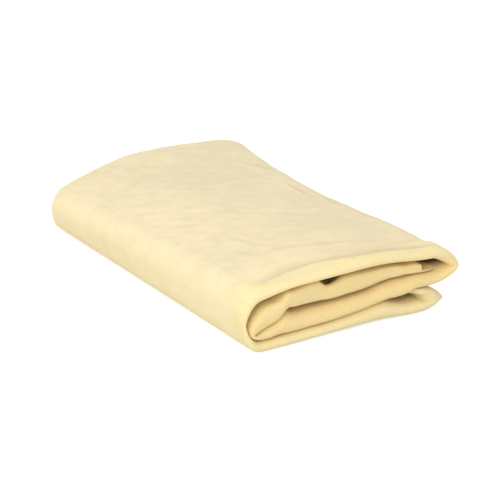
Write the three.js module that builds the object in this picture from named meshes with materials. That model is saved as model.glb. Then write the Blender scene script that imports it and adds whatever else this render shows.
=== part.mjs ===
// Chamois leather, folded for storage
//
// One uncut hide of soft oil-tanned leather. It is doubled first, so that its two
// leaves are joined by a soft rim along the front end, and then rolled flat: the
// tucked end lies inside, the lower layer turns back under it, the right side climbs
// to the top layer, the left side comes down to the bottom layer, and the last short
// stretch is turned back under the stack. The cut edges lie at the back end.
//
// Millimetres. X runs across the folded stack, Y from the front rims to the cut
// edges, and Z is up. The origin is the middle of the stack's footprint, on the
// surface that it lies on.
import * as THREE from "three";

// Driving sizes of the hide and of the folded stack
const hideThickness = 1.2;
const foldedWidth = 151;
const foldedLength = 261;
const stackHeight = 43;

// Air held between the two leaves of each doubled layer, at its fullest
const bottomAir = 6.4;
const returnAir = 1.8;
const lowerAir = 4.9;
const tuckedAir = 6.4;
const topAir = 4.1;

// Openings between one doubled layer and the next
const restGap = 0.6;
const pocketOpening = 4;
const lowerOpening = 1.6;

// Where each turn of the roll leaves its upper and its lower layer, measured in from
// the side that it bulges to, and the air held in its bend
const leftTurnUpperReach = 14;
const leftTurnLowerReach = 13;
const leftTurnAir = 1.8;
const innerTurnUpperReach = 17;
const innerTurnLowerReach = 12;
const innerTurnAir = 3.6;
const innerTurnGap = 1.6;
const innerCreaseDrop = 1.5;
const rightTurnUpperReach = 21.5;
const rightTurnLowerReach = 20.5;
const rightTurnAir = 2.8;
const returnTurnReach = 17;
const returnTurnAir = 10.2;

// Where the loose ends of the roll stop, measured in from the right side
const tuckedUpperLeafInset = 30;
const tuckedLowerLeafInset = 15;
const returnTurnInset = 10;
const returnEndInset = 40;

// How far the rims stand back from the front, and how the front end slants
const frontSlant = 7.4;
const tuckedSetback = 3.8;
const tuckedSetbackRun = 35;
const returnSetback = 8;
const returnRampRun = 16;
const returnRampLead = 6;

// The hollow behind the rims, the right side's waist and flare, and the cut edge's round
const hollowDistance = 18;
const sideWaist = 3.5;
const sideFlare = 16;
const backCornerDropLeft = 33.5;
const backCornerDropRight = 9.5;

// Fullness of the stack from the front rims back to the cut edges
const fullnessPlaceShares = [0, 0.07, 0.2, 0.55, 1];
const fullnessShares = [1, 0.92, 0.945, 0.775, 0.6];

// Places across the width, and how full each layer and opening is there
const acrossShares = [0.13, 0.35, 0.57, 0.78];
const openingPlaceShares = [0.06, 0.13, 0.2, 0.27, 0.36, 0.5, 0.64, 0.78];
const heightPlaceShares = [0.1, 0.3, 0.5, 0.65, 0.88];
const heightShares = [0.9, 0.93, 0.99, 0.995, 0.94];
const bottomAirShares = [0.575, 1.08, 1.28, 0.69];
const pocketShares = [0, 0, 0, 1];
const lowerAirShares = [1.16, 0.815, 0.84, 0.65];
const lowerOpeningShares = [0.33, 0.73, 3.1, 3.4, 2.2, 2.05, 2.05, 1.67];
const tuckedAirShares = [1.35, 0.92, 0.98, 0.34];
const backCrownShare = 0.66;
const backRoundPower = 2.4;
const flarePower = 3;

// How high the bulge of each turn lies between its two layers
const leftNoseShare = 0.63;
const innerNoseShare = 0.54;
const rightNoseShare = 0.33;
const returnNoseShare = 0.52;

// How deep the soft rims are along the stack, against half their height
const rimDepthShare = 1.25;

// Places of the facets along each straight stretch, and counts round the turns and rims
const tuckedRunShares = [0, 0.3, 0.56, 0.78, 0.9];
const lowerRunShares = [0, 0.18, 0.4, 0.62, 0.82];
const topRunShares = [0, 0.22, 0.42, 0.62, 0.82];
const bottomRunShares = [0, 0.25, 0.5, 0.75];
const returnRunShares = [0, 0.33, 0.67];
const endShares = [0];
const turnFacets = 6;
const leftTurnFacets = 7;
const rimFacets = 5;
const upperLeafShares = [1, 0.62, 0.3];
const lowerLeafShares = [0.5, 1];

// Height of the layers when they are pressed together
const pressedLayers = 4;
const twoLeaves = 2 * hideThickness;
const pressedHeight = pressedLayers * twoLeaves + (pressedLayers - 1) * restGap;
const returnEndX = foldedWidth - returnEndInset;

// Slope of a table of shares at one of its places, level at both ends
function slopeAt(places, values, i) {
  if (i === 0 || i === places.length - 1) return 0;
  return (values[i + 1] - values[i - 1]) / (places[i + 1] - places[i - 1]);
}

// Smooth curve through a table of shares
function through(places, values, place) {
  const last = places.length - 1;
  if (place <= places[0]) return values[0];
  if (place >= places[last]) return values[last];
  const after = places.findIndex((edge) => edge > place);
  const before = after - 1;
  const span = places[after] - places[before];
  const along = (place - places[before]) / span;
  const left = 1 - along;
  const startSlope = span * slopeAt(places, values, before);
  const endSlope = span * slopeAt(places, values, after);
  const start = left * left * ((1 + 2 * along) * values[before] + along * startSlope);
  const end = along * along * ((1 + 2 * left) * values[after] - left * endSlope);
  return start + end;
}

// Value of a table of shares at a distance x from the left side
function across(places, values, x) {
  return through(places, values, x / foldedWidth);
}

// Heights of the under and upper face of every doubled layer, at x and at a fullness
function layersAt(x, fullness) {
  const bottomTop = twoLeaves + bottomAir * across(acrossShares, bottomAirShares, x) * fullness;
  const pocket = pocketOpening * across(acrossShares, pocketShares, x);
  const returnUnder = bottomTop + restGap + pocket * fullness;
  const returnTop = returnUnder + twoLeaves + returnAir * fullness;
  const rampEnd = returnEndX - returnRampLead;
  const overReturn = THREE.MathUtils.smoothstep(x, rampEnd - returnRampRun, rampEnd);
  const carried = THREE.MathUtils.lerp(bottomTop, returnTop, overReturn);
  const lowerUnder = carried + restGap;
  const lowerHeld = lowerAir * across(acrossShares, lowerAirShares, x);
  const lowerTop = lowerUnder + twoLeaves + lowerHeld * fullness;
  const lowerRise = lowerOpening * across(openingPlaceShares, lowerOpeningShares, x);
  const tuckedUnder = lowerTop + restGap + lowerRise * fullness;
  const tuckedHeld = tuckedAir * across(acrossShares, tuckedAirShares, x);
  const tuckedTop = tuckedUnder + twoLeaves + tuckedHeld * fullness;
  const fullHeight = stackHeight * across(heightPlaceShares, heightShares, x);
  const topTop = THREE.MathUtils.lerp(pressedHeight, fullHeight, fullness);
  const topUnder = topTop - twoLeaves - topAir * fullness;
  return {
    bottom: { under: 0, top: bottomTop },
    return: { under: returnUnder, top: returnTop },
    lower: { under: lowerUnder, top: lowerTop },
    tucked: { under: tuckedUnder, top: tuckedTop },
    top: { under: topUnder, top: topTop },
  };
}

// Sides of the turns across the width, on the roll's outside and on its inside
const leftSide = { outer: 0, inner: twoLeaves + leftTurnAir };
const innerSide = {
  outer: leftSide.inner + innerTurnGap,
  inner: leftSide.inner + innerTurnGap + twoLeaves + innerTurnAir,
};
const rightSide = { outer: foldedWidth, inner: foldedWidth - twoLeaves - rightTurnAir };
const returnSide = {
  outer: foldedWidth - returnTurnInset,
  inner: foldedWidth - returnTurnInset - twoLeaves - returnTurnAir,
};

// Places where the turns meet their layers
const leftTurnTopX = leftSide.outer + leftTurnUpperReach;
const leftTurnBottomX = leftSide.outer + leftTurnLowerReach;
const innerTurnTopX = innerSide.outer + innerTurnUpperReach;
const innerTurnBottomX = innerSide.outer + innerTurnLowerReach;
const rightTurnTopX = rightSide.outer - rightTurnUpperReach;
const rightTurnBottomX = rightSide.outer - rightTurnLowerReach;
const returnTurnX = returnSide.outer - returnTurnReach;
const tuckedUpperEndX = foldedWidth - tuckedUpperLeafInset;
const tuckedLowerEndX = foldedWidth - tuckedLowerLeafInset;

// A straight stretch of one layer. Its faces are given as the one on the roll's
// outside and then the one on its inside.
function run(layer, startX, endX, placeShares, setback, startInnerX = startX) {
  const stretch = [];
  for (const along of placeShares) {
    const outerX = THREE.MathUtils.lerp(startX, endX, along);
    const innerX = THREE.MathUtils.lerp(startInnerX, endX, along);
    stretch.push({
      turns: false,
      setback: setback(outerX),
      faces(fullness) {
        const outer = layersAt(outerX, fullness)[layer.name];
        const inner = layersAt(innerX, fullness)[layer.name];
        return layer.outsideUp
          ? [[outerX, outer.top], [innerX, inner.under]]
          : [[outerX, outer.under], [innerX, inner.top]];
      },
    });
  }
  return stretch;
}

// One face of a turn, as two quarter ellipses that meet at its side
function roundFace(start, end, sideX, noseZ, angle) {
  const leg = angle < Math.PI / 2 ? start : end;
  const level = Math.abs(Math.cos(angle));
  return [
    THREE.MathUtils.lerp(leg[0], sideX, Math.sin(angle)),
    THREE.MathUtils.lerp(noseZ, leg[1], level),
  ];
}

// One face of a turn that is pressed to a crease, which drops towards its side
function creasedFace(start, end, sideX, drop, angle) {
  const middle = (start[1] + end[1]) / 2;
  const half = (start[1] - end[1]) / 2;
  return [
    THREE.MathUtils.lerp(start[0], sideX, Math.sin(angle)),
    middle + half * Math.cos(angle) - drop * Math.sin(angle),
  ];
}

// A turn from one layer into another
function turn({ from, to, fromX, toX, side, facets, noseShare, creaseDrop }) {
  const stretch = [];
  for (let step = 0; step < facets; step += 1) {
    const angle = (Math.PI * step) / facets;
    stretch.push({
      turns: true,
      setback: 0,
      faces(fullness) {
        const startLayer = layersAt(fromX, fullness)[from.name];
        const endLayer = layersAt(toX, fullness)[to.name];
        const outerStart = from.outsideUp ? startLayer.top : startLayer.under;
        const outerEnd = to.outsideUp ? endLayer.top : endLayer.under;
        const innerStart = from.outsideUp ? startLayer.under : startLayer.top;
        const noseZ = THREE.MathUtils.lerp(
          Math.min(outerStart, outerEnd), Math.max(outerStart, outerEnd), noseShare,
        );
        const outer = roundFace([fromX, outerStart], [toX, outerEnd], side.outer, noseZ, angle);
        if (creaseDrop) {
          const creaseLayer = layersAt(fromX, fullness)[to.name];
          const creaseEnd = to.outsideUp ? creaseLayer.under : creaseLayer.top;
          const start = [fromX, innerStart];
          const end = [fromX, creaseEnd];
          return [outer, creasedFace(start, end, side.inner, creaseDrop * fullness, angle)];
        }
        const innerEnd = to.outsideUp ? endLayer.under : endLayer.top;
        return [outer, roundFace([fromX, innerStart], [toX, innerEnd], side.inner, noseZ, angle)];
      },
    });
  }
  return stretch;
}

// Layers of the roll, and which of their faces is its outside
const bottomLayer = { name: "bottom", outsideUp: false };
const returnLayer = { name: "return", outsideUp: true };
const lowerLayer = { name: "lower", outsideUp: false };
const tuckedLayer = { name: "tucked", outsideUp: true };
const topLayer = { name: "top", outsideUp: true };

// How far the rims of each layer stand back
function level() {
  return 0;
}

function tuckedStandsBack(x) {
  const along = THREE.MathUtils.clamp((x - innerTurnTopX) / tuckedSetbackRun, 0, 1);
  return tuckedSetback * Math.sin((Math.PI / 2) * along) ** 2;
}

function returnStandsBack(x) {
  const along = THREE.MathUtils.clamp((returnTurnX - x) / (returnTurnX - returnEndX), 0, 1);
  return returnSetback * Math.sin((Math.PI / 2) * along);
}

// The turns of the roll
const innerTurn = turn({
  from: tuckedLayer,
  to: lowerLayer,
  fromX: innerTurnTopX,
  toX: innerTurnBottomX,
  side: innerSide,
  facets: turnFacets,
  noseShare: innerNoseShare,
  creaseDrop: innerCreaseDrop,
});
const rightTurn = turn({
  from: lowerLayer,
  to: topLayer,
  fromX: rightTurnBottomX,
  toX: rightTurnTopX,
  side: rightSide,
  facets: turnFacets,
  noseShare: rightNoseShare,
});
const leftTurn = turn({
  from: topLayer,
  to: bottomLayer,
  fromX: leftTurnTopX,
  toX: leftTurnBottomX,
  side: leftSide,
  facets: leftTurnFacets,
  noseShare: leftNoseShare,
});
const returnTurn = turn({
  from: bottomLayer,
  to: returnLayer,
  fromX: returnTurnX,
  toX: returnTurnX,
  side: returnSide,
  facets: turnFacets,
  noseShare: returnNoseShare,
});

// The roll, from its tucked end to the end of the short return
const stations = [
  ...run(tuckedLayer, tuckedUpperEndX, innerTurnTopX, tuckedRunShares, tuckedStandsBack, tuckedLowerEndX),
  ...innerTurn,
  ...run(lowerLayer, innerTurnBottomX, rightTurnBottomX, lowerRunShares, level, innerTurnTopX),
  ...rightTurn,
  ...run(topLayer, rightTurnTopX, leftTurnTopX, topRunShares, level),
  ...leftTurn,
  ...run(bottomLayer, leftTurnBottomX, returnTurnX, bottomRunShares, level),
  ...returnTurn,
  ...run(returnLayer, returnTurnX, returnEndX, returnRunShares, returnStandsBack),
  ...run(returnLayer, returnEndX, returnEndX, endShares, returnStandsBack),
];

// Front and back ends of a station, at a distance x from the left side
function frontAt(x, setback) {
  return setback - frontSlant * (x / foldedWidth);
}

function backAt(x) {
  const crown = backCrownShare * foldedWidth;
  const off = x < crown ? (crown - x) / crown : (x - crown) / (foldedWidth - crown);
  const drop = x < crown ? backCornerDropLeft : backCornerDropRight;
  return foldedLength - drop * off ** backRoundPower;
}

// Waist of the right side, fullest half way along, and its flare at the cut edge
function waisted(x, alongShare) {
  const right = Math.max(0, x / foldedWidth - 1 / 2) * 2;
  const waist = sideWaist * Math.sin(Math.PI * alongShare) ** 2;
  return x + right * (sideFlare * alongShare ** flarePower - waist);
}

// Radius of the soft rim at a station. A loose end's leaves may stop at different
// places, so along a straight stretch only their heights count.
function rimRadius(station) {
  const [outer, inner] = station.faces(1);
  const sideways = station.turns ? outer[0] - inner[0] : 0;
  return Math.hypot(sideways, outer[1] - inner[1]) / 2;
}

// One point of the doubled skin on a straight leaf, at a share of the way back
function leafPoint(station, isOuter, alongShare) {
  const [outer, inner] = station.faces(1);
  const rim = rimRadius(station);
  const x = isOuter ? outer[0] : inner[0];
  const front = frontAt(x, station.setback) + rimDepthShare * rim;
  const y = THREE.MathUtils.lerp(front, backAt(x), alongShare);
  const fullness = through(fullnessPlaceShares, fullnessShares, alongShare);
  const face = station.faces(fullness)[isOuter ? 0 : 1];
  return new THREE.Vector3(waisted(face[0], alongShare), y, face[1]);
}

// One point of the soft rim that joins the two leaves, from 0 outside to 1 inside
function rimPoint(station, roundShare) {
  const [outer, inner] = station.faces(1);
  const rim = rimRadius(station);
  const angle = Math.PI * roundShare;
  const mix = (1 - Math.cos(angle)) / 2;
  const x = THREE.MathUtils.lerp(outer[0], inner[0], mix);
  const z = THREE.MathUtils.lerp(outer[1], inner[1], mix);
  const y = frontAt(x, station.setback) + rimDepthShare * rim * (1 - Math.sin(angle));
  return new THREE.Vector3(x, y, z);
}

// A row of skin points across the doubled hide at one station
function rowAt(station) {
  const row = [];
  const hollowShare = hollowDistance / foldedLength;
  for (const share of [...upperLeafShares, hollowShare]) row.push(leafPoint(station, true, share));
  for (let step = 0; step <= rimFacets; step += 1) row.push(rimPoint(station, step / rimFacets));
  for (const share of [hollowShare, ...lowerLeafShares]) row.push(leafPoint(station, false, share));
  return row;
}

// Outward direction of the skin at each grid point, from its neighbours
function skinDirections(grid) {
  const lastRow = grid.length - 1;
  const lastColumn = grid[0].length - 1;
  return grid.map((row, i) => row.map((_, j) => {
    const alongRoll = new THREE.Vector3().subVectors(
      grid[Math.min(i + 1, lastRow)][j], grid[Math.max(i - 1, 0)][j],
    );
    const acrossHide = new THREE.Vector3().subVectors(
      grid[i][Math.min(j + 1, lastColumn)], grid[i][Math.max(j - 1, 0)],
    );
    return new THREE.Vector3().crossVectors(alongRoll, acrossHide).normalize();
  }));
}

// The hide as one closed solid: its outer skin, its inner skin, and the cut edges
function hideGeometry() {
  const skin = stations.map(rowAt);
  const directions = skinDirections(skin);
  const rows = skin.length;
  const columns = skin[0].length;
  const positions = [];
  for (const depth of [0, hideThickness]) {
    skin.forEach((row, i) => row.forEach((point, j) => {
      const moved = point.clone().addScaledVector(directions[i][j], -depth);
      positions.push(moved.x, moved.y, moved.z);
    }));
  }
  const index = [];
  const at = (i, j, inside) => (inside ? rows * columns : 0) + i * columns + j;
  const quad = (a, b, c, d) => index.push(a, b, c, a, c, d);
  for (let i = 0; i < rows - 1; i += 1) {
    for (let j = 0; j < columns - 1; j += 1) {
      quad(at(i, j, false), at(i + 1, j, false), at(i + 1, j + 1, false), at(i, j + 1, false));
      quad(at(i, j, true), at(i, j + 1, true), at(i + 1, j + 1, true), at(i + 1, j, true));
    }
    quad(at(i, 0, false), at(i, 0, true), at(i + 1, 0, true), at(i + 1, 0, false));
    const end = columns - 1;
    quad(at(i, end, false), at(i + 1, end, false), at(i + 1, end, true), at(i, end, true));
  }
  for (let j = 0; j < columns - 1; j += 1) {
    quad(at(0, j, false), at(0, j + 1, false), at(0, j + 1, true), at(0, j, true));
    const end = rows - 1;
    quad(at(end, j, false), at(end, j, true), at(end, j + 1, true), at(end, j + 1, false));
  }
  const geometry = new THREE.BufferGeometry();
  geometry.setAttribute("position", new THREE.Float32BufferAttribute(positions, 3));
  geometry.setIndex(index);
  return geometry;
}

// Stands the stack on the origin, over the middle of its footprint
function centredOnFootprint(geometry) {
  geometry.computeBoundingBox();
  const { min, max } = geometry.boundingBox;
  geometry.translate(-(min.x + max.x) / 2, -(min.y + max.y) / 2, -min.z);
  geometry.computeVertexNormals();
  return geometry;
}

const chamoisSuede = new THREE.MeshStandardMaterial({
  color: 0xf0deb2,
  roughness: 0.95,
  metalness: 0,
});

const chamoisLeather = new THREE.Mesh(centredOnFootprint(hideGeometry()), chamoisSuede);
chamoisLeather.name = "chamois_leather";

const foldedChamois = new THREE.Group();
foldedChamois.add(chamoisLeather);

export default foldedChamois;
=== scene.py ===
import logging
import math
from dataclasses import astuple, dataclass, field, replace
from enum import Enum
from typing import Any, Callable

import bpy
import numpy as np
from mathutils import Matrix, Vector


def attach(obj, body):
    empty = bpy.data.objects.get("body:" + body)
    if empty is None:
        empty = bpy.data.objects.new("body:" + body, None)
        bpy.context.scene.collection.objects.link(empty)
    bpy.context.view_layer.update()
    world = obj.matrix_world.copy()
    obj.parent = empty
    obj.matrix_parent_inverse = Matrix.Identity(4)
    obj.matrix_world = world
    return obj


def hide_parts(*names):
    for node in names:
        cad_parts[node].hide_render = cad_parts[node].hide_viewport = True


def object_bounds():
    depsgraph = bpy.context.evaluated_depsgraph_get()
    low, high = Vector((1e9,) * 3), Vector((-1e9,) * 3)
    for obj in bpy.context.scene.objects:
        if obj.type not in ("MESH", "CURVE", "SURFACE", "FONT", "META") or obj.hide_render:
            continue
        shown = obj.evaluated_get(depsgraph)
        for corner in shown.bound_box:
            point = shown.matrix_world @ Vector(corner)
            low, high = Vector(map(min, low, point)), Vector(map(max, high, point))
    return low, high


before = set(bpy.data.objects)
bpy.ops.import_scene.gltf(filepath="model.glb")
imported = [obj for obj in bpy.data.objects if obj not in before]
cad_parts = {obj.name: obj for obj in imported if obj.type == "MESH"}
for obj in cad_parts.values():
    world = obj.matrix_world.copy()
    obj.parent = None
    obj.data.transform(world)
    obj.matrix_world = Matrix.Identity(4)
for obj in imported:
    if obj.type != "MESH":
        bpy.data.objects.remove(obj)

cad_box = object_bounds()

logging.basicConfig(level=logging.INFO, format="%(message)s")
log = logging.getLogger("chamois")

MM = 0.001
Array = np.ndarray
Colour = tuple[float, float, float, float]
Pair = tuple[float, float]
Triple = tuple[float, float, float]
WHITE: Colour = (1.0, 1.0, 1.0, 1.0)


class Layer(Enum):
    """Doubled layers of the rolled hide, from the loose end inside to the short return."""

    TUCKED = 0
    LOWER = 1
    TOP = 2
    BOTTOM = 3
    RETURN = 4

    @property
    def outside_up(self) -> bool:
        """Whether the layer's upper leaf is on the outside of the roll."""
        return self in (Layer.TUCKED, Layer.TOP, Layer.RETURN)


class Leaf(Enum):
    """The two leaves of the doubled hide."""

    OUTER = 0
    INNER = 1


def placed(name: str, data: Any) -> bpy.types.Object:
    """Makes an object from its data and links it into the scene."""
    made = bpy.data.objects.new(name, data)
    bpy.context.scene.collection.objects.link(made)
    return made


@dataclass(frozen=True)
class Curve:
    """A smooth curve through given values at given places."""

    places: tuple[float, ...]
    values: tuple[float, ...]

    def at(self, place: Any) -> Array:
        """Reads the curve.

        Args:
            place: Where to read it, one number or many.

        Returns:
            The values there, held level past both ends.
        """
        xs = np.asarray(self.places, float)
        ys = np.asarray(self.values, float)
        slopes = np.zeros_like(ys)
        slopes[1:-1] = (ys[2:] - ys[:-2]) / (xs[2:] - xs[:-2])
        x = np.clip(np.asarray(place, float), xs[0], xs[-1])
        i = np.clip(np.searchsorted(xs, x, side="right") - 1, 0, len(xs) - 2)
        span = xs[i + 1] - xs[i]
        t = (x - xs[i]) / span
        near = (1 + 2 * t) * (1 - t) ** 2 * ys[i] + t * (1 - t) ** 2 * span * slopes[i]
        far = t * t * (3 - 2 * t) * ys[i + 1] + t * t * (t - 1) * span * slopes[i + 1]
        return near + far


@dataclass(frozen=True)
class Unevenness:
    """Slow waves that stand for the natural unevenness of a hand-folded hide."""

    seed: int
    wavelength: float
    height: float
    waves: int = 7
    spread: Pair = (0.6, 1.6)

    def at(self, u: Any, v: Any = 0.0) -> Array:
        """Reads the unevenness.

        Args:
            u: First place, in mm.
            v: Second place, in mm.

        Returns:
            Values in mm, mostly within the height either way.
        """
        chance = np.random.default_rng(self.seed)
        total = np.zeros(np.broadcast(u, v).shape)
        for _ in range(self.waves):
            angle = chance.uniform(0, 2 * math.pi)
            reach = 2 * math.pi / (self.wavelength * chance.uniform(*self.spread))
            phase = chance.uniform(0, 2 * math.pi)
            total = total + np.sin(reach * (np.cos(angle) * u + np.sin(angle) * v) + phase)
        return self.height * (total / math.sqrt(self.waves))


@dataclass(frozen=True)
class Wrinkle:
    """A soft crease in the top leaf, along a line of points across the stack, in mm.

    Below a depth of 0 it is a ridge. The shoulders beside it have a share of its depth,
    and lie and spread in furrow widths.
    """

    points: tuple[Pair, ...]
    depth: float
    width: float
    shoulder: float = 0.35
    shoulder_at: float = 1.9
    shoulder_width: float = 0.9
    end: float = 0.02
    fading: float = 0.7

    def height(self, x: Array, y: Array) -> tuple[Array, Array]:
        """Works out how far the crease moves the leaf.

        Args:
            x: Distances from the left side, in mm.
            y: Distances from the front, in mm.

        Returns:
            Heights to add, in mm, and how deep in the furrow each place lies, from 0 to 1.
        """
        nearest = np.full(x.shape, np.inf)
        along = np.zeros(x.shape)
        corners = [np.array(p, float) for p in self.points]
        lengths = [np.linalg.norm(b - a) for a, b in zip(corners, corners[1:])]
        total = sum(lengths)
        walked = 0.0
        for start, end, length in zip(corners, corners[1:], lengths):
            step = (end - start) / length
            t = np.clip((x - start[0]) * step[0] + (y - start[1]) * step[1], 0, length)
            away = np.hypot(x - start[0] - t * step[0], y - start[1] - t * step[1])
            closer = away < nearest
            nearest = np.where(closer, away, nearest)
            along = np.where(closer, (walked + t) / total, along)
            walked += length
        fade = np.sin(math.pi * np.clip(along, self.end, 1 - self.end)) ** self.fading
        reach = nearest / self.width
        beside = np.exp(-((reach - self.shoulder_at) / self.shoulder_width) ** 2)
        furrow = -np.exp(-reach ** 2) + self.shoulder * beside
        return self.depth * fade * furrow, self.depth * fade * np.exp(-reach ** 2)


@dataclass(frozen=True)
class Rim:
    """How the doubled hide bends at its soft front fold.

    Attributes:
        depth: How deep the rim is, against half its height.
        blunt: Power on its roundness; below 1 it has a flat face and tight corners.
        lean: Power on its places; below 1 it bulges near the outer leaf.
        lip: How late it crosses from the outer to the inner leaf's place along the roll.
    """

    depth: float = 1.3
    blunt: float = 1.0
    lean: float = 1.0
    lip: float = 1.0

    def towards(self, other: "Rim", share: float) -> "Rim":
        """Blends this rim into another."""
        return Rim(*(a + (b - a) * share for a, b in zip(astuple(self), astuple(other))))


@dataclass(frozen=True)
class Dent:
    """The dent in the tucked layer that shows as a dark spot under the top rims, in mm; the spot
    is partly painted shade.

    Attributes:
        across: Shares of its depth, at shares of the stack's width.
        drift: How far it drifts to the right for each mm towards the back.
        start: How far behind the rim it has its full depth.
        fading: Length over which it fades out before its end.
        shade: How dark its painted shade is, as a share of a fold's inside.
    """

    across: Curve = Curve((0.36, 0.4, 0.455, 0.495), (0.0, 1.0, 1.0, 0.0))
    depth: float = 3.2
    drift: float = 0.6
    start: float = 6.0
    end: float = 70.0
    fading: float = 45.0
    shade: float = 0.68

    def at(self, x: Array, behind: Array, width: float) -> Array:
        """Reads the dent.

        Args:
            x: Distances from the left side, in mm.
            behind: Distances behind the rim, in mm.
            width: Width of the stack, in mm.

        Returns:
            Shares of its full depth.
        """
        kept = np.clip(behind / self.start, 0, 1)
        kept = kept * np.clip((self.end - behind) / self.fading, 0, 1)
        return self.across.at((x - self.drift * behind) / width) * kept


@dataclass(frozen=True)
class TurnShape:
    """How the roll bends from one layer into the next.

    Attributes:
        count: Number of stations round it.
        reach: How far its upper and its lower leg reach from its side, in mm.
        air: Room between its leaves, in mm.
        nose: How high it bulges furthest, as a share of the height between its layers.
        dip: How much lower its inner face bulges, as such a share.
        drop: How far a pressed crease drops inside it, in mm; 0 for none.
        pointed: How pointed its outer face is at the start and at the end, and its
            inner face; 0 is round and below 0 is blunt.
    """

    count: int
    reach: Pair
    air: float
    nose: float
    dip: float = 0.0
    drop: float = 0.0
    pointed: Triple = (0.0, 0.0, 0.0)


@dataclass(frozen=True)
class Settling:
    """The short cloth simulation in which the leather settles.

    Attributes:
        grow: How much larger the sheet is simulated, where the solver is steady.
        cloth: The cloth's own settings, with its spare length as a negative shrink.
        freedom: How much less than the rest the top leaf is held.
        held_rows: Points behind the rim that stay held.
        most: How far a point may move, in mm.
    """

    grow: float = 10.0
    frames: int = 18
    cloth: tuple[tuple[str, float], ...] = (
        ("quality", 6), ("mass", 0.15), ("tension_stiffness", 12.0),
        ("compression_stiffness", 12.0), ("shear_stiffness", 4.0), ("bending_stiffness", 1.2),
        ("pin_stiffness", 0.6), ("shrink_min", -0.004))
    freedom: float = 0.6
    held_rows: int = 3
    most: float = 0.4

    def run(self, sheet: bpy.types.Object, held: str) -> None:
        """Simulates the sheet and applies the result to its mesh.

        Args:
            sheet: The sheet's object, at its larger size.
            held: Name of the vertex group that holds it.
        """
        modifier = sheet.modifiers.new("settle", "CLOTH")
        for name, value in self.cloth:
            setattr(modifier.settings, name, value)
        modifier.settings.vertex_group_mass = held
        modifier.settings.effector_weights.gravity = 0
        modifier.collision_settings.use_collision = False
        modifier.point_cache.frame_start = 1
        modifier.point_cache.frame_end = self.frames
        for number in range(1, self.frames + 1):
            bpy.context.scene.frame_set(number)
        bpy.ops.object.modifier_apply(modifier=modifier.name)
        bpy.context.scene.frame_set(1)


@dataclass
class Station:
    """One line of the doubled hide across the roll, at one place along the roll.

    Attributes:
        faces: Gives outer x, outer z, inner x and inner z at a fullness.
        rim: The shape of its rim.
        tone: How golden its leather is, 1 for golden and 2 for amber; the golden tone paints warm
            light bounced in the folds.
        setback: How far the rim stands back from the front, in mm.
        turned: 0 on a straight stretch of the roll, up to 1 at the nose of a turn.
        top: How much of the top leaf's wrinkles the station takes.
        painted_fold_shade: Whether its outer leaf lies inside the roll, so that shade is painted
            on it.
        bottom: Whether it lies on the floor.
    """

    faces: Callable[[Array], tuple[Array, Array, Array, Array]]
    rim: Rim
    tone: float
    setback: float = 0.0
    turned: float = 0.0
    top: float = 0.0
    painted_fold_shade: bool = False
    bottom: bool = False

    def at_rim(self) -> list[float]:
        """Gives the four values of its faces at the rim."""
        return [float(value[0]) for value in self.faces(np.array([1.0]))]

    def rim_radius(self) -> float:
        """Gives half the height of the rim, in mm."""
        ox, oz, ix, iz = self.at_rim()
        return math.hypot(ox - ix if self.turned else 0.0, oz - iz) / 2


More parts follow.
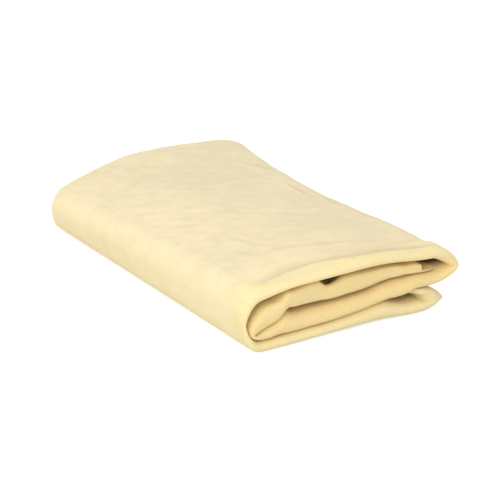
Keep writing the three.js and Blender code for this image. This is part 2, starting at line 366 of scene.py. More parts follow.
@dataclass
class FoldedHide:
    """The chamois, doubled and rolled flat as one continuous sheet. Sizes in mm.

    A share is of the width, from the left side, where it is a place across the stack, and
    otherwise of the size that it changes. Each "air" is the room between a layer's leaves.
    """

    # Leather and footprint
    thickness: float = 1.2
    width: float = 151.0
    length: float = 262.2
    height: float = 43.0
    flat: Pair = (0.64, 0.53)
    front_slant: float = 7.4
    waist: float = 3.5
    flare: float = 16.0
    flare_start: float = 0.3
    flare_power: float = 1.6
    crown_share: float = 0.72
    corner_drop_left: float = 34.5
    corner_drop_right: float = 11.5
    back_round: float = 2.0

    # Layers, from the floor up, and how they thin out towards the back
    fullness: Curve = Curve((0.0, 0.035, 0.068, 0.12, 0.2, 0.55, 1.0),
                            (1.0, 0.985, 0.915, 0.94, 0.945, 0.775, 0.6))
    height_share: Curve = Curve((0.1, 0.3, 0.5, 0.65, 0.88), (0.9, 0.94, 0.985, 0.985, 0.905))
    rest_gap: float = 0.6
    bottom_air: float = 6.4
    bottom_share: Curve = Curve((0.13, 0.3, 0.4, 0.5, 0.6, 0.65, 0.71, 0.77),
                                (0.55, 0.72, 0.82, 1.05, 1.4, 1.45, 1.0, 0.72))
    bottom_lift: Curve = Curve((0.15, 0.4, 0.55, 0.85), (0.0, 0.9, 0.9, 0.0))
    bottom_lift_run: float = 7.0
    return_air: float = 1.2
    pocket_opening: float = 4.0
    pocket_share: Curve = Curve((0.72, 0.8), (0.3, 1.0))
    lower_air: float = 4.9
    lower_share: Curve = Curve((0.11, 0.155, 0.2, 0.245, 0.35, 0.5, 0.58, 0.66, 0.72, 0.78, 0.92),
                               (0.95, 1.45, 2.22, 1.7, 1.52, 1.31, 1.14, 1.36, 1.65, 1.2, 1.02))
    lower_opening: float = 1.6
    lower_open_share: Curve = Curve((0.155, 0.185, 0.215, 0.26, 0.36, 0.5, 0.64, 0.78, 0.92),
                                    (0.05, 0.25, 2.0, 2.6, 1.8, 1.35, 1.1, 0.7, 0.2))
    tucked_air: float = 6.4
    tucked_share: Curve = Curve(
        (0.13, 0.21, 0.33, 0.365, 0.39, 0.43, 0.475, 0.57, 0.7, 0.8, 0.92),
        (1.5, 1.1, 1.54, 1.57, 1.06, 1.08, 1.38, 1.28, 0.75, 0.45, 0.3))
    top_air: float = 4.1
    top_share: Curve = Curve((0.06, 0.1, 0.16, 0.23, 0.32, 0.5), (1.7, 1.3, 0.75, 0.5, 0.65, 1.0))
    ramp_run: float = 26.0
    ramp_lead: float = 3.0

    # Turns of the roll, and its two ends
    left_turn: TurnShape = TurnShape(30, (14.0, 13.0), 0.9, 0.63, 0.2, pointed=(0.0, 0.0, 0.35))
    inner_turn: TurnShape = TurnShape(24, (17.0, 12.0), 1.5, 0.45, drop=5.2,
                                      pointed=(0.3, -0.25, 0.0))
    right_turn: TurnShape = TurnShape(26, (21.5, 20.5), 3.6, 0.41, pointed=(0.0, 0.0, 0.6))
    return_turn: TurnShape = TurnShape(20, (19.5, 19.5), 15.0, 0.39, pointed=(0.45, 0.45, 0.2))
    inner_gap: float = 2.1
    crease_gain: float = 6.0
    return_inset: float = 8.2
    return_end_inset: float = 36.0
    return_setback: float = 8.0
    tucked_insets: Pair = (26.0, 15.0)
    tucked_setback: float = 3.8
    tucked_setback_run: float = 35.0

    # Rims, cut edges, dent and wrinkles
    rims: dict[Layer, Rim] = field(default_factory=lambda: {
        Layer.TUCKED: Rim(0.8, 0.6, 1.0, 18.0), Layer.LOWER: Rim(1.4, 1.0, 0.9),
        Layer.TOP: Rim(2.0), Layer.BOTTOM: Rim(), Layer.RETURN: Rim()})
    outer_edge: Unevenness = Unevenness(11, 90.0, 0.5)
    inner_edge: Unevenness = Unevenness(23, 70.0, 1.8)
    inner_edge_back: float = 1.5
    dent: Dent = Dent()
    swell: Unevenness = Unevenness(5, 55.0, 0.25)
    ripple: Unevenness = Unevenness(6, 17.0, 0.1)
    relief_start: float = 0.012
    wrinkles: tuple[Wrinkle, ...] = (
        Wrinkle(((15, 8), (22, 12), (30, 17), (42, 21), (57, 20), (69, 14.5), (81, 9.5),
                 (96, 7), (112, 6.5), (124, 5.5), (133, 4), (143, 1), (151, -5)), 1.5, 3.9, 0.25),
        Wrinkle(((116, 17), (130, 14), (141, 11), (149, 8)), -1.0, 5.5, 0.0),
        Wrinkle(((45, 86), (47, 74), (50, 61), (55, 51)), 0.4, 2.3),
        Wrinkle(((41, 47), (54, 47), (68, 42), (83, 36.5), (95, 31.5), (116, 27)), 0.7, 2.1),
        Wrinkle(((37, 62), (37, 53), (41, 43)), 0.4, 2.2),
        Wrinkle(((139, 199), (142, 189), (148, 184)), 0.9, 1.8, 0.15),
        Wrinkle(((132, 155), (132, 141), (132, 131), (131, 111)), 0.9, 1.9, 0.15),
        Wrinkle(((136.5, 121), (135.5, 106), (134.5, 91)), 0.8, 1.8, 0.15),
        Wrinkle(((70, 126), (74, 110), (82, 106)), 0.3, 2.2, 0.15),
    )

    # Colour marks: how golden each layer is, which paints warm light bounced in the folds, and how
    # far into the folds shade is painted
    tones: dict[Layer, float] = field(default_factory=lambda: {
        Layer.TUCKED: 1.35, Layer.LOWER: 1.5, Layer.TOP: 1.0, Layer.BOTTOM: 0.8,
        Layer.RETURN: 0.6})
    # Painted warm light: the top leaf turns golden towards its rim.
    rim_tone: float = 0.9
    rim_tone_run: float = 12.0
    rim_tone_lead: float = 1.6
    top_tone_power: float = 0.7
    shade_start: float = 0.15
    shade_run: float = 24.0
    turn_shade_run: float = 12.0
    back_shade_run: float = 20.0
    covered_below: float = 0.2
    # Painted shade on the strip of rim at the tucked layer's loose end, where it overhangs.
    overhang_shade: float = 0.5
    overhang_start: float = 2.0
    overhang_run: float = 6.0

    # Grid of the mesh
    stations_along: dict[Layer, int] = field(default_factory=lambda: {
        Layer.TUCKED: 44, Layer.LOWER: 44, Layer.TOP: 96, Layer.BOTTOM: 30, Layer.RETURN: 10})
    leaf_columns: int = 96
    inner_columns: int = 34
    rim_columns: int = 16
    leaf_spacing: float = 1.5
    inner_spacing: float = 1.6
    smooth_angle: float = 50.0

    # Part and finish
    body: str = "root"
    node: str = "chamois_leather"
    material_slot: str = "chamois_suede"
    settling: Settling = Settling()
    finish: "SuedeFinish" = field(default_factory=lambda: SuedeFinish())

    # Layers of the roll

    def face(self, layer: Layer, leaf: Leaf, x: float, fullness: Array) -> Array:
        """Stacks the doubled layers, and gives the height of one leaf of one layer.

        Args:
            layer: The layer.
            leaf: Its outer or inner leaf, as the roll has them.
            x: Distance from the left side.
            fullness: How full the stack is there.

        Returns:
            Its heights.
        """
        spot = x + 0 * fullness
        share = spot / self.width
        two = 2 * self.thickness
        bottom_top = two + self.bottom_air * self.bottom_share.at(share) * fullness
        pocket = self.pocket_opening * self.pocket_share.at(share)
        return_under = bottom_top + self.rest_gap + pocket * fullness
        return_top = return_under + two + self.return_air * fullness
        ramp_end = self.width - self.return_end_inset + self.ramp_lead
        t = np.clip((spot - ramp_end + self.ramp_run) / self.ramp_run, 0, 1)
        carried = bottom_top + (return_top - bottom_top) * t * t * (3 - 2 * t)
        lower_under = carried + self.rest_gap
        lower_top = lower_under + two + self.lower_air * self.lower_share.at(share) * fullness
        lower_rise = self.lower_opening * self.lower_open_share.at(share)
        tucked_under = lower_top + self.rest_gap + lower_rise * fullness
        tucked_top = tucked_under + two + self.tucked_air * self.tucked_share.at(share) * fullness
        pressed = 4 * two + 3 * self.rest_gap
        full_height = self.height * self.height_share.at(share)
        top_top = pressed + (full_height - pressed) * fullness
        top_under = top_top - two - self.top_air * self.top_share.at(share) * fullness
        under, top = {
            Layer.BOTTOM: (0 * bottom_top, bottom_top),
            Layer.RETURN: (return_under, return_top),
            Layer.LOWER: (lower_under, lower_top),
            Layer.TUCKED: (tucked_under, tucked_top),
            Layer.TOP: (top_under, top_top),
        }[layer]
        return top if layer.outside_up == (leaf is Leaf.OUTER) else under

    # Stretches of the roll

    def run(self, layer: Layer, start: float, end: float,
            setback: Callable[[float], float] | None = None, inner_start: float | None = None,
            last: bool = False) -> list[Station]:
        """Lays a straight stretch of one layer.

        Args:
            layer: The layer.
            start: Where its outer leaf starts, from the left side.
            end: Where it ends.
            setback: Gives how far the rim stands back at a place, if it does.
            inner_start: Where its inner leaf starts, if elsewhere.
            last: Whether to add the station at the end.

        Returns:
            The stations, in order.
        """
        other = start if inner_start is None else inner_start
        count = self.stations_along[layer]
        made = []
        for step in range(count + last):
            outer_x = start + (end - start) * step / count
            inner_x = other + (end - other) * step / count

            def faces(fullness: Array, ox: float = outer_x, ix: float = inner_x) -> tuple:
                """Gives both leaves of this station at a fullness."""
                return (ox + 0 * fullness, self.face(layer, Leaf.OUTER, ox, fullness),
                        ix + 0 * fullness, self.face(layer, Leaf.INNER, ix, fullness))

            made.append(Station(faces, self.rims[layer], self.tones[layer],
                                setback=setback(outer_x) if setback else 0.0,
                                top=float(layer is Layer.TOP),
                                painted_fold_shade=layer in (Layer.TUCKED, Layer.LOWER),
                                bottom=layer is Layer.BOTTOM))
        return made

    def turn(self, start: Layer, end: Layer, start_x: float, end_x: float,
             side: Pair, shape: TurnShape) -> list[Station]:
        """Bends one layer into the next.

        Args:
            start: Layer that the turn leaves.
            end: Layer that it reaches.
            start_x: Where it leaves, from the left side.
            end_x: Where it reaches the next layer.
            side: Where its outer and its inner face turn back.
            shape: How it bends.

        Returns:
            The stations, in order.
        """
        made = []
        for step in range(shape.count):
            angle = math.pi * step / shape.count
            sin, cos = math.sin(angle), math.cos(angle)

            def faces(fullness: Array, s: float = sin, c: float = cos) -> tuple:
                """Gives both leaves of this station.

                Args:
                    fullness: How full the stack is there.
                    s: Sine of the angle round the turn.
                    c: Its cosine.

                Returns:
                    Outer x, outer z, inner x and inner z.
                """
                outer_start = self.face(start, Leaf.OUTER, start_x, fullness)
                outer_end = self.face(end, Leaf.OUTER, end_x, fullness)
                inner_start = self.face(start, Leaf.INNER, start_x, fullness)
                inner_end = self.face(end, Leaf.INNER, end_x, fullness)
                apart = np.abs(outer_start - outer_end)
                nose_z = np.minimum(outer_start, outer_end) + shape.nose * apart
                leg_x = start_x if c > 0 else end_x
                leg_z = outer_start if c > 0 else outer_end
                reach = [s + (1 - abs(c) - s) * share for share in shape.pointed]
                outer_x = leg_x + (side[0] - leg_x) * reach[c <= 0] + 0 * fullness
                outer_z = nose_z + (leg_z - nose_z) * abs(c)
                if shape.drop:
                    pressed = self.face(end, Leaf.INNER, start_x, fullness)
                    middle, half = (inner_start + pressed) / 2, (inner_start - pressed) / 2
                    inner_x = start_x + (side[1] - start_x) * s + 0 * fullness
                    full = np.clip(self.crease_gain * fullness - (self.crease_gain - 1), 0, 1)
                    fallen = shape.drop * s * full
                    return outer_x, outer_z, inner_x, middle + half * c - fallen
                leg_z = inner_start if c > 0 else inner_end
                nose_z = nose_z - shape.dip * apart
                inner_x = leg_x + (side[1] - leg_x) * reach[2] + 0 * fullness
                return outer_x, outer_z, inner_x, nose_z + (leg_z - nose_z) * abs(c)

            mix = step / shape.count
            rim = replace(self.rims[start], lip=1.0).towards(self.rims[end], mix)
            tone = self.tones[start] + (self.tones[end] - self.tones[start]) * mix
            top = 1 - mix if start is Layer.TOP else mix * (end is Layer.TOP)
            # Turn stations hidden inside the roll get painted shade, like the layers there.
            painted_fold_shade = Layer.BOTTOM not in (start, end) and top < self.covered_below
            made.append(Station(faces, rim, tone, turned=sin, top=top, painted_fold_shade=painted_fold_shade))
        return made

    def stations(self) -> list[Station]:
        """Rolls the hide up, from its tucked end to the end of the short return.

        Returns:
            The stations, in order.
        """
        two = 2 * self.thickness
        left = (0.0, two + self.left_turn.air)
        inner_x = left[1] + self.inner_gap
        inner = (inner_x, inner_x + two + self.inner_turn.air)
        right = (self.width, self.width - two - self.right_turn.air)
        back_x = self.width - self.return_inset
        back = (back_x, back_x - two - self.return_turn.air)
        left_top, left_low = self.left_turn.reach
        inner_top, inner_low = (inner_x + reach for reach in self.inner_turn.reach)
        right_top, right_low = (self.width - reach for reach in self.right_turn.reach)
        return_x = back_x - self.return_turn.reach[0]
        return_end = self.width - self.return_end_inset
        upper_end, lower_end = (self.width - inset for inset in self.tucked_insets)

        def eased(most: float, start: float, run: float, power: int) -> Callable[[float], float]:
            """Sets a rim further and further back over a run from a turn."""
            return lambda x: most * math.sin(
                math.pi / 2 * min(max((x - start) / run, 0.0), 1.0)) ** power

        tucked_back = eased(self.tucked_setback, inner_top, self.tucked_setback_run, 2)
        return_back = eased(self.return_setback, return_x, return_end - return_x, 1)
        return [
            *self.run(Layer.TUCKED, upper_end, inner_top, tucked_back, lower_end),
            *self.turn(Layer.TUCKED, Layer.LOWER, inner_top, inner_low, inner, self.inner_turn),
            *self.run(Layer.LOWER, inner_low, right_low, None, inner_top),
            *self.turn(Layer.LOWER, Layer.TOP, right_low, right_top, right, self.right_turn),
            *self.run(Layer.TOP, right_top, left_top),
            *self.turn(Layer.TOP, Layer.BOTTOM, left_top, left_low, left, self.left_turn),
            *self.run(Layer.BOTTOM, left_low, return_x),
            *self.turn(Layer.BOTTOM, Layer.RETURN, return_x, return_x, back, self.return_turn),
            *self.run(Layer.RETURN, return_x, return_end, return_back, last=True),
        ]

    # Skin of the hide

    def front_at(self, x: Array, setback: float) -> Array:
        """Gives where a rim starts, in mm from the front-left corner."""
        return setback - self.front_slant * x / self.width

    def back_at(self, x: float) -> float:
        """Shapes the cut edge.

        Args:
            x: Distance from the left side.

        Returns:
            How far back it lies, from the front-left corner.
        """
        crown = self.crown_share * self.width
        off = (crown - x) / crown if x < crown else (x - crown) / (self.width - crown)
        drop = self.corner_drop_left if x < crown else self.corner_drop_right
        return self.length - drop * abs(off) ** self.back_round

    def leaf_points(self, station: Station, leaf: Leaf, shares: Array, wave: float) -> Array:
        """Lays one leaf of a station from its rim back to the cut edge.

        Args:
            station: The station.
            leaf: Which of its leaves.
            shares: Places along the leaf, 0 at the rim and 1 at the cut edge.
            wave: How far the cut edge strays there, in mm.

        Returns:
            Points in mm, one row for each share.
        """
        x = station.at_rim()[2 * leaf.value]
        rim = station.rim_radius() * station.rim.depth
        front = self.front_at(x, station.setback) + rim
        y = front + (self.back_at(x) + wave - front) * shares
        moved = station.faces(self.fullness.at(shares))
        fx, fz = moved[:2] if leaf is Leaf.OUTER else moved[2:]
        right = max(0.0, x / self.width - self.flare_start) ** self.flare_power
        right = right / (1 - self.flare_start) ** self.flare_power
        fx = fx + right * (self.flare * shares ** 3 - self.waist * np.sin(np.pi * shares) ** 2)
        if leaf is Leaf.OUTER:
            fz = fz + self.lift(station, x, y - front)
        return np.stack([fx, y, fz], 1)

    def lift(self, station: Station, x: Any, behind: Any) -> Any:
        """Gives how far the bottom layer's rim is lifted off the floor, in mm."""
        share = self.bottom_lift.at(x / self.width) if station.bottom else 0.0
        return share * np.exp(-behind / self.bottom_lift_run)

    def rim_points(self, station: Station) -> Array:
        """Rounds the soft rim that joins the two leaves of a station.

        Args:
            station: The station.

        Returns:
            Points in mm, from the outer to the inner leaf.
        """
        ox, oz, ix, iz = station.at_rim()
        steps = np.arange(1, self.rim_columns) / self.rim_columns
        mix = (1 - np.cos(np.pi * steps)) / 2
        x = ox + (ix - ox) * mix ** station.rim.lip
        z = oz + (iz - oz) * mix
        depth = station.rim_radius() * station.rim.depth
        z = z + self.lift(station, x, 0.0) * (1 - mix)
        bulge = np.sin(np.pi * steps ** station.rim.lean) ** station.rim.blunt
        return np.stack([x, self.front_at(x, station.setback) + depth * (1 - bulge), z], 1)

    def skin(self) -> tuple[Array, dict[str, list[Array]]]:
        """Makes the hide's outer skin as a grid of points.

        Returns:
            Points in mm, along the roll and then across the hide, and by name how golden the
            leather is at each (painted warm light), how deep in a wrinkle, and how much painted
            shade it takes deep inside a fold.
        """
        outer = np.linspace(0, 1, self.leaf_columns) ** self.leaf_spacing
        inner = np.linspace(0, 1, self.inner_columns) ** self.inner_spacing
        steps = np.arange(1, self.rim_columns) / self.rim_columns
        bend = (1 - np.cos(np.pi * steps)) / 2
        behind = outer * self.length
        near_rim = self.rim_tone * np.exp(-behind / self.rim_tone_run)
        rows, tones, creases, depths = [], [], [], []
        walked = 0.0
        for station in self.stations():
            top = self.leaf_points(station, Leaf.OUTER, outer, float(self.outer_edge.at(walked)))
            low = self.leaf_points(station, Leaf.INNER, inner,
                                   float(self.inner_edge.at(walked)) - self.inner_edge_back)
            relief, depth = self.top_relief(top[:, 0], top[:, 1], outer)
            top[:, 2] += station.top * relief
            lid = station.painted_fold_shade and not station.turned and top[0, 2] > low[0, 2]
            hollow = lid * self.dent.at(top[:, 0], behind, self.width)
            top[:, 2] -= self.dent.depth * hollow
            rows.append(np.concatenate([top[::-1], self.rim_points(station), low]))

            # Painted warm light: the top leaf turns golden near its rim, and the other leaves take
            # their layer's golden tone.
            kept = 1 - station.top ** self.top_tone_power
            leaf = kept * station.tone + (1 - kept) * near_rim
            rim = leaf[0] + (station.tone - leaf[0]) * np.clip(steps * self.rim_tone_lead, 0, 1)
            tones.append(np.concatenate([leaf[::-1], rim, np.full(len(inner), station.tone)]))
            creases.append(np.concatenate([station.top * depth[::-1],
                                           np.zeros(len(rim) + len(inner))]))
            # Painted shade on the rim strip at the tucked layer's loose end.
            reach = (low[0, 0] - top[0, 0] - self.overhang_start) / self.overhang_run
            overhang = self.overhang_shade * lid * float(np.clip(reach, 0, 1))
            # Painted shade: leaves inside the roll darken deep in the folds, and the dent darkens
            # too.
            dark = np.maximum(station.painted_fold_shade * self.inside(outer, station.turned),
                              self.dent.shade * hollow)
            depths.append(np.concatenate([dark[::-1], overhang * bend ** station.rim.lip,
                                          self.inside(inner, station.turned)]))
            if len(rows) > 1:
                middle = self.leaf_columns
                walked += float(np.linalg.norm(rows[-1][middle] - rows[-2][middle]))
        return np.array(rows), {"golden": tones, "crease": creases, "inside": depths}

    def inside(self, shares: Array, turned: float) -> Array:
        """Works out how deep inside a fold each place of a leaf within the roll lies, as the share
        of painted shade that it takes.

        Args:
            shares: Places along the leaf, 0 at the rim and 1 at the cut edge.
            turned: How far round a turn of the roll they lie, where the painted shade gets dark
                sooner.

        Returns:
            Depths between 0 and 1.
        """
        run = self.shade_run + (self.turn_shade_run - self.shade_run) * turned
        behind = shares * self.length / run
        before = (1 - shares) * self.length / self.back_shade_run
        return np.clip(behind - self.shade_start, 0, 1) * np.clip(before, 0, 1)

    def top_relief(self, x: Array, y: Array, shares: Array) -> tuple[Array, Array]:
        """Gives the wrinkles and the soft unevenness of the top leaf.

        Args:
            x: Distances from the left side, in mm.
            y: Distances from the front-left corner, in mm.
            shares: Places along the leaf, 0 at the rim and 1 at the cut edge.

        Returns:
            Heights to add, in mm, and how deep in a wrinkle each place lies.
        """
        calm = np.clip(shares / self.relief_start, 0, 1)
        made = [wrinkle.height(x, y) for wrinkle in self.wrinkles]
        relief = sum(height for height, _ in made)
        relief = relief + self.swell.at(x, y) + self.ripple.at(x, y)
        return relief * calm, np.clip(sum(depth for _, depth in made), 0, 1) * calm

    # Mesh of the hide

    def sheet_object(self, points: Array, marks: dict[str, list[Array]]) -> bpy.types.Object:
        """Makes one continuous sheet from the grid, with a UV map along the leather.

        Args:
            points: Grid of points in metres.
            marks: Values that the finish reads, one for each point, by name.

        Returns:
            The sheet's object.
        """
        rows, columns = points.shape[:2]
        ids = np.arange(rows * columns).reshape(rows, columns)
        quads = np.stack([ids[:-1, :-1], ids[1:, :-1], ids[1:, 1:], ids[:-1, 1:]], -1)
        mesh = bpy.data.meshes.new("chamois_hide")
        mesh.from_pydata(points.reshape(-1, 3).tolist(), [], quads.reshape(-1, 4).tolist())
        mesh.update()
        sheet = placed("chamois_hide", mesh)
        steps = [np.linalg.norm(np.diff(points, axis=a), axis=2).mean(1 - a) for a in (0, 1)]
        uv = [np.concatenate([[0.0], np.cumsum(step)]) for step in steps]
        flat = np.stack(np.meshgrid(*uv, indexing="ij"), -1).reshape(-1, 2)
        layer = mesh.uv_layers.new(name="hide")
        corners = np.zeros(len(mesh.loops), dtype=np.int32)
        mesh.loops.foreach_get("vertex_index", corners)
        layer.data.foreach_set("uv", flat[corners].astype(np.float32).ravel())
        for name, values in marks.items():
            mark = mesh.attributes.new(name, "FLOAT", "POINT")
            mark.data.foreach_set("value", np.array(values, np.float32).ravel())
        return sheet

    def relax(self, sheet: bpy.types.Object, points: Array) -> None:
        """Lets the leather settle with a short cloth simulation, and applies it.

        A goal holds the sheet near its folded form, and the top leaf less than the rest.
        No point moves further than the settling allows, so that no new folds come up.

        Args:
            sheet: The sheet's object.
            points: The grid that it was made from, in metres.
        """
        settling = self.settling
        sheet.data.vertices.foreach_set("co", (points * settling.grow).ravel().astype(np.float32))
        hold = np.ones(points.shape[:2])
        free = np.array([station.top for station in self.stations()])
        loose = self.leaf_columns - settling.held_rows
        hold[:, :loose] = 1 - settling.freedom * np.round(free, 1)[:, None]
        hold = hold.ravel()
        group = sheet.vertex_groups.new(name="held")
        for value in np.unique(hold):
            group.add(np.flatnonzero(hold == value).tolist(), float(value), "REPLACE")
        settling.run(sheet, group.name)
        settled = np.zeros(points.size, dtype=np.float32)
        sheet.data.vertices.foreach_get("co", settled)
        moved = settled.reshape(points.shape).astype(float) / settling.grow - points
        log.info("cloth: moved by %.2f mm at most", np.abs(moved).max() / MM)
        moved = moved * (1 - hold.reshape(*points.shape[:2], 1)) / settling.freedom
        length = np.linalg.norm(moved, axis=2, keepdims=True)
        final = points + moved * np.minimum(1, settling.most * MM / np.maximum(length, 1e-9))
        final[..., 2] = np.maximum(final[..., 2], 0.0)
        sheet.data.vertices.foreach_set("co", final.ravel().astype(np.float32))
        sheet.vertex_groups.clear()
        sheet.data.update()

    def thicken(self, sheet: bpy.types.Object) -> None:
        """Gives the sheet the leather's thickness, inwards, and closes its cut edges.

        Args:
            sheet: The sheet's object.
        """
        solid = sheet.modifiers.new("leather", "SOLIDIFY")
        solid.thickness = self.thickness * MM
        solid.offset = -1.0
        solid.use_rim = True
        bpy.ops.object.modifier_apply(modifier="leather")
        bpy.ops.object.shade_smooth_by_angle(angle=math.radians(self.smooth_angle))

    def build(self) -> None:
        skin, marks = self.skin()
        corner = np.array([cad_box[0][0], cad_box[0][1] + self.front_slant * MM, 0.0])
        points = skin * MM + corner
        sheet = self.sheet_object(points, marks)
        bpy.ops.object.select_all(action="DESELECT")
        bpy.context.view_layer.objects.active = sheet
        sheet.select_set(True)
        self.relax(sheet, points)
        self.thicken(sheet)
        sheet.select_set(False)
        sheet.data.materials.append(self.finish.material())
        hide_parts(self.node)
        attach(sheet, self.body)
        log.info("%s: %d faces", sheet.name, len(sheet.data.polygons))


class Sock:
    """Wraps a shader socket, so that sums on values can be written as expressions."""

    def __init__(self, tree: "NodeTree", link: Any) -> None:
        """Keeps the tree and the socket."""
        self.tree = tree
        self.link = link

    def maths(self, operation: str, other: Any) -> "Sock":
        """Adds a Math node on this socket and another value."""
        return self.tree.node("ShaderNodeMath", {"operation": operation}, [self, other])

    def __add__(self, other: Any) -> "Sock":
        """Adds."""
        return self.maths("ADD", other)

    def __sub__(self, other: Any) -> "Sock":
        """Subtracts."""
        return self.maths("SUBTRACT", other)

    def __mul__(self, other: Any) -> "Sock":
        """Multiplies."""
        return self.maths("MULTIPLY", other)

    __radd__ = __add__
    __rmul__ = __mul__

    def clamped(self) -> "Sock":
        """Keeps the value between 0 and 1."""
        return self.tree.node("ShaderNodeClamp", {}, [self])


class NodeTree:
    """The node tree of a material or of the world, with one way to add a node."""

    def __init__(self, owner: bpy.types.Material | bpy.types.World) -> None:
        """Empties the owner's tree.

        Args:
            owner: The material or world.
        """
        owner.use_nodes = True
        self.owner = owner
        self.tree = owner.node_tree
        self.tree.nodes.clear()

    def node(self, kind: str, settings: dict[str, Any], inputs: Any, output: Any = 0) -> Sock:
        """Adds a node.

        Args:
            kind: The node's type.
            settings: Its own settings, set before its sockets.
            inputs: Values or links, in order, or by socket name.
            output: Which output to hand back.

        Returns:
            That output, wrapped.
        """
        made = self.tree.nodes.new(kind)
        for name, value in settings.items():
            setattr(made, name, value)
        pairs = inputs.items() if isinstance(inputs, dict) else enumerate(inputs)
        for key, value in pairs:
            if isinstance(value, Sock):
                self.tree.links.new(value.link, made.inputs[key])
            else:
                made.inputs[key].default_value = value
        return Sock(self, made.outputs[output])

    def finish(self, shader: Sock) -> None:
        """Connects the finished shader to the tree's output."""
        world = isinstance(self.owner, bpy.types.World)
        end = self.tree.nodes.new("ShaderNodeOutputWorld" if world else "ShaderNodeOutputMaterial")
        self.tree.links.new(shader.link, end.inputs["Surface"])


def rgb(*channels: int) -> Colour:
    """Turns a display colour into the linear one that a shader takes.

    Args:
        channels: Its red, green and blue, from 0 to 255.

    Returns:
        The linear colour, opaque.
    """
    shares = (channel / 255 for channel in channels)
    return (*(s / 12.92 if s <= 0.04045 else ((s + 0.055) / 1.055) ** 2.4 for s in shares), 1.0)


@dataclass(frozen=True)
class Noise:
    """A noise: its waves per metre, how many finer ones it adds, and how strong those are."""

    scale: float
    detail: float
    rough: float

    def value(self, place: Sock) -> Sock:
        """Reads the noise at a place."""
        return place.tree.node("ShaderNodeTexNoise", {}, {
            "Vector": place, "Scale": self.scale, "Detail": self.detail,
            "Roughness": self.rough})


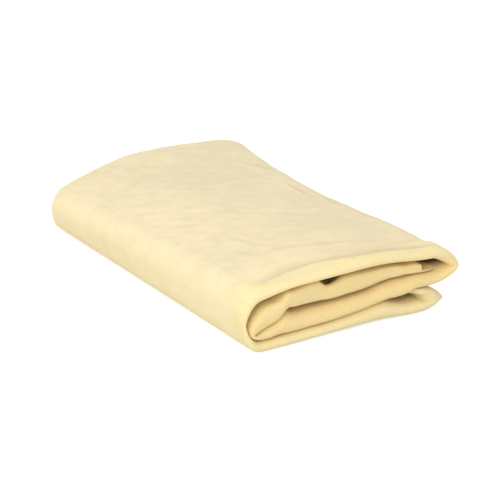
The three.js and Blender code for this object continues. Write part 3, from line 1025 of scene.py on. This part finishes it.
@dataclass(frozen=True)
class SuedeFinish:
    """Pale oil-tanned chamois suede: mottled cream that greys towards the right, which is painted
    shade, and golden towards the rims and in the folds, which is painted warm light.

    The hide's own marks drive it: "golden" goes from the pale outside at 0 to the golden folds at
    1 and amber at 2, painting the warm light bounced inside the folds; "crease" makes the wrinkle
    furrows darker; and "inside" is painted shade deep in the folds, where little light reaches.
    """

    name: str = "chamois_suede"
    pale: Colour = rgb(252, 235, 192)
    # Greyer cream of the random mottling, and of the painted shade towards the right side.
    grey_mottle_and_shade: Colour = rgb(238, 222, 183)
    gold: Colour = rgb(252, 234, 176)
    deep_gold: Colour = rgb(250, 229, 167)
    amber: Colour = rgb(246, 213, 146)
    stain: Colour = rgb(222, 196, 141)
    # Darker tone for the furrows of the wrinkles.
    crease_dark: Colour = rgb(206, 186, 150)
    # Painted shade: the dark brown painted deep in the folds, in the dent and at the tucked
    # layer's end.
    painted_fold_shade: Colour = rgb(104, 70, 34)
    broad: Noise = Noise(22.0, 3.0, 0.55)
    cloud: Noise = Noise(90.0, 4.0, 0.62)
    nap: Noise = Noise(620.0, 3.0, 0.7)
    fibre: Noise = Noise(2600.0, 1.0, 0.5)
    streak: Noise = Noise(170.0, 4.0, 0.6)
    streak_angle: float = -14.0
    streak_stretch: float = 0.22
    mottle_gain: float = 3.4
    mottle_level: float = 0.12
    golden_mottle_level: float = 0.1
    # Painted shade: the outside greys from the left side towards the right, as the light falls
    # from the left.
    side_shade_slope: float = 16.0
    side_shade_level: float = 1.15
    side_shade_most: float = 0.62
    golden_edge: float = 0.35
    fleck_gain: float = 4.0
    nap_flecks: Pair = (0.54, 0.28)
    streak_flecks: Pair = (0.55, 0.13)
    grain_outside: float = 0.65
    grain_golden: float = 1.1
    crease_dark_least: float = 0.3
    crease_dark_nap: float = 0.4
    nap_outside: float = 0.5
    nap_golden: float = 0.7
    relief: Triple = (0.35, 0.4, 0.35)
    bump_strength: float = 0.45
    bump_distance: float = 0.0006
    roughness: float = 0.92
    specular: float = 0.2
    sheen: float = 0.2
    sheen_roughness: float = 0.5

    def material(self) -> bpy.types.Material:
        """Makes the suede from noise on the object's own coordinates.

        Returns:
            The material.
        """
        material = bpy.data.materials.new(self.name)
        tree = NodeTree(material)
        place = tree.node("ShaderNodeTexCoord", {}, [], "Object")
        golden, crease, inside = (
            tree.node("ShaderNodeAttribute", {"attribute_name": name}, [], "Fac")
            for name in ("golden", "crease", "inside"))
        broad, cloud, nap, fibre = (
            noise.value(place) for noise in (self.broad, self.cloud, self.nap, self.fibre))
        drawn = tree.node("ShaderNodeMapping", {}, {
            "Vector": tree.node("ShaderNodeUVMap", {"uv_map": "hide"}, []),
            "Rotation": (0.0, 0.0, math.radians(self.streak_angle)),
            "Scale": (1.0, self.streak_stretch, 1.0)})
        streak = self.streak.value(drawn)

        across = tree.node("ShaderNodeSeparateXYZ", {}, [place], "X")
        # Painted shade: greyer towards the right side of the stack.
        painted_side_shade = (across * self.side_shade_slope + self.side_shade_level).clamped() * self.side_shade_most
        mottle = (0.5 * broad + 0.5 * cloud - 0.5) * self.mottle_gain + self.mottle_level
        outside = self.mix((mottle + painted_side_shade).clamped(), self.pale, self.grey_mottle_and_shade)
        below = (mottle + self.golden_mottle_level).clamped()
        kept = self.mix(below, self.gold, self.deep_gold)
        # Painted warm light: golden and amber where the hide's mark says, with a cloudy edge.
        spread = (golden + (cloud - 0.5) * self.golden_edge).clamped()
        base = self.mix(spread, outside, kept)
        base = self.mix((golden - 1.0).clamped(), base, self.amber)

        flecks = self.flecks(nap, *self.nap_flecks) + self.flecks(streak, *self.streak_flecks)
        grain = flecks * (self.grain_outside + golden.clamped() * self.grain_golden)
        stained = self.mix(grain.clamped(), base, self.stain)
        # The wrinkle furrows get the darker tone, more where the nap is high.
        crease_darkened = (crease * (self.crease_dark_least + self.crease_dark_nap * nap)).clamped()
        colour = self.mix(crease_darkened, stained, self.crease_dark)
        # Painted shade: deep in the folds the colour goes towards dark brown.
        colour = self.mix(inside, colour, self.painted_fold_shade)

        relief = (self.nap_outside + self.nap_golden * golden) * nap
        for share, noise in zip(self.relief, (fibre, cloud, streak)):
            relief = relief + share * noise
        normal = tree.node("ShaderNodeBump", {}, {
            "Strength": self.bump_strength, "Distance": self.bump_distance, "Height": relief})
        tree.finish(tree.node("ShaderNodeBsdfPrincipled", {}, {
            "Base Color": colour, "Roughness": self.roughness, "Normal": normal,
            "Sheen Weight": self.sheen, "Sheen Roughness": self.sheen_roughness,
            "Specular IOR Level": self.specular}))
        return material

    def flecks(self, noise: Sock, level: float, most: float) -> Sock:
        """Picks the peaks of a noise above a level, up to a most."""
        return ((noise - level) * self.fleck_gain).clamped() * most

    def mix(self, share: Sock, first: Any, second: Any) -> Sock:
        """Mixes two colours by a share."""
        return share.tree.node("ShaderNodeMix", {"data_type": "RGBA"},
                               {0: share, 6: first, 7: second}, 2)


@dataclass(frozen=True)
class Softbox:
    """One soft white lamp that faces the middle of the floor, in metres and watts."""

    name: str
    place: Triple
    side: float
    power: float

    def build(self) -> None:
        """Hangs the lamp."""
        data = bpy.data.lights.new(self.name, "AREA")
        data.shape = "SQUARE"
        data.size = self.side
        data.energy = self.power
        lamp = placed(self.name, data)
        lamp.location = self.place
        lamp.rotation_mode = "QUATERNION"
        lamp.rotation_quaternion = (-Vector(self.place)).to_track_quat("-Z", "Y")


@dataclass
class Studio:
    """Pale floor, soft lamps and the camera at the photograph's viewing angle.

    Attributes:
        scale: Size of a pixel at the target, in mm.
        target: Spot on the floor that the camera looks at, in mm.
        floor_glow: How much the floor glows for the camera alone.
        room_light: Strength of the light from all round.
    """

    focal_pixels: float = 2100.0
    frame_pixels: float = 500.0
    sensor: float = 36.0
    clip: Pair = (0.01, 50.0)
    pitch: float = 22.27
    azimuth: float = -33.29
    scale: float = 0.64
    target: Pair = (9.24, 7.15)
    floor_side: float = 6.0
    floor_drop: float = 0.0002
    floor_grey: Colour = (0.86, 0.86, 0.86, 1.0)
    floor_glow: float = 0.55
    room_light: float = 0.58
    lamps: tuple[Softbox, ...] = (
        Softbox("front_left_softbox", (-1.2, -1.05, 0.95), 1.2, 12.9),
        Softbox("overhead_softbox", (0.0, 0.1, 1.6), 1.6, 8.0),
    )

    def camera(self) -> None:
        """Places the camera."""
        data = bpy.data.cameras.new("camera")
        data.sensor_width = self.sensor
        data.lens = self.focal_pixels / self.frame_pixels * self.sensor
        data.clip_start, data.clip_end = self.clip
        camera = placed("camera", data)
        pitch, azimuth = math.radians(self.pitch), math.radians(self.azimuth)
        back = Vector((math.sin(azimuth) * math.cos(pitch), -math.cos(azimuth) * math.cos(pitch),
                       math.sin(pitch)))
        spot = Vector((self.target[0] * MM, self.target[1] * MM, 0.0))
        camera.location = spot + back * (self.focal_pixels * self.scale * MM)
        camera.rotation_mode = "QUATERNION"
        camera.rotation_quaternion = (-back).to_track_quat("-Z", "Y")
        bpy.context.scene.camera = camera

    def floor(self) -> None:
        """Lays the plain pale floor, which keeps the stack's shadow."""
        half = self.floor_side / 2
        mesh = bpy.data.meshes.new("floor")
        corners = [(-half, -half, 0), (half, -half, 0), (half, half, 0), (-half, half, 0)]
        mesh.from_pydata(corners, [], [(0, 1, 2, 3)])
        floor = placed("floor", mesh)
        floor.location = (0, 0, -self.floor_drop)
        material = bpy.data.materials.new("pale_floor")
        tree = NodeTree(material)
        seen = tree.node("ShaderNodeLightPath", {}, [], "Is Camera Ray")
        plain = tree.node("ShaderNodeBsdfDiffuse", {}, {"Color": self.floor_grey})
        glow = tree.node("ShaderNodeEmission", {}, {
            "Color": WHITE, "Strength": self.floor_glow * seen})
        tree.finish(tree.node("ShaderNodeAddShader", {}, [plain, glow]))
        mesh.materials.append(material)

    def world(self) -> None:
        """Lights the scene evenly, and shows white behind it and in reflections."""
        world = bpy.data.worlds.new("studio")
        tree = NodeTree(world)
        camera, glossy = (tree.node("ShaderNodeLightPath", {}, [], f"Is {kind} Ray")
                          for kind in ("Camera", "Glossy"))
        light = tree.node("ShaderNodeBackground", {}, {
            "Color": WHITE, "Strength": self.room_light})
        white = tree.node("ShaderNodeBackground", {}, {"Color": WHITE, "Strength": 1.0})
        tree.finish(tree.node("ShaderNodeMixShader", {},
                              [camera.maths("MAXIMUM", glossy), light, white]))
        bpy.context.scene.world = world

    def build(self) -> None:
        """Sets the whole studio up."""
        self.camera()
        self.floor()
        self.world()
        for lamp in self.lamps:
            lamp.build()
        bpy.context.scene.view_settings.view_transform = "Standard"
        log.info("studio: camera, floor, world and %d lamps", len(self.lamps))


def main() -> None:
    """Builds the studio and the folded hide, and reports them."""
    Studio().build()
    FoldedHide().build()


if __name__ == "__main__":
    main()
